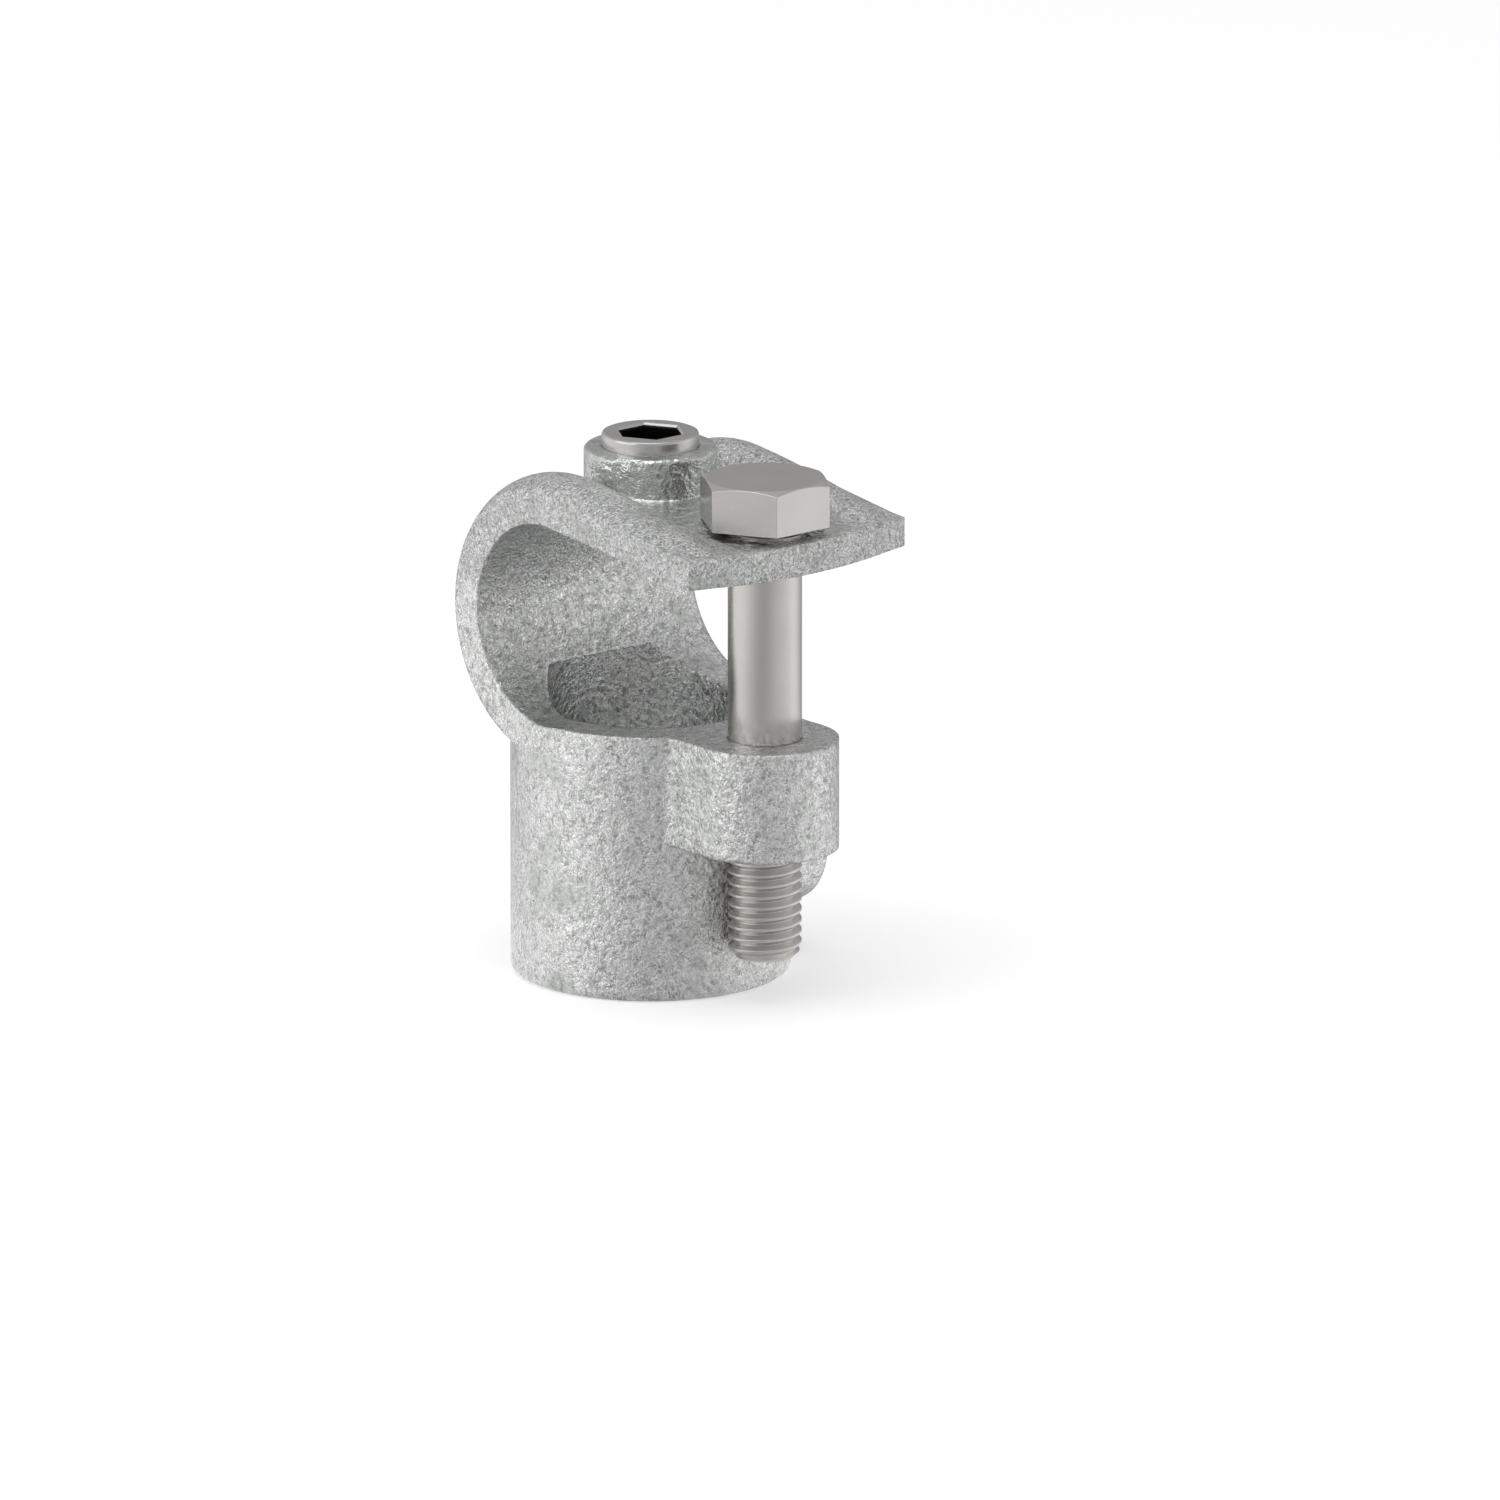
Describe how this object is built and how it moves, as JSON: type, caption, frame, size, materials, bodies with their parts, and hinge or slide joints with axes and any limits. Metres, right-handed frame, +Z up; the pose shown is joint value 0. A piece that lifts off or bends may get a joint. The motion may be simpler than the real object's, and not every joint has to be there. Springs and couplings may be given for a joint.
{
  "type": "tube clamp tee fitting",
  "caption": "Clamp-on tee for round tube: an upright socket, a rimmed hook band over a level tube, and a front tab drawn down to a lug by a long hex bolt, with hexagon-socket set screws.",
  "frame": {"origin": "where the axis of the level tube crosses the axis of the upright tube", "axes": "+X along the level tube, towards the side boss; +Z up, along the upright tube; the clamp bolt is on the -Y side and the back of the hook band faces +Y"},
  "size_m": [0.0434, 0.0543, 0.0747],
  "materials": {
    "galvanised_casting": "hot-dip galvanised malleable iron, light grey, finely mottled and half glossy",
    "plated_bolt_steel": "bright zinc-plated steel, smooth, slightly warm grey",
    "plated_screw_steel": "bright zinc-plated steel with a turned end face"
  },
  "bodies": {
    "root": {"tee_casting": "galvanised_casting", "clamp_bolt": "plated_bolt_steel", "top_set_screw": "plated_screw_steel", "side_set_screw": "plated_screw_steel"}
  },
  "joints": []
}
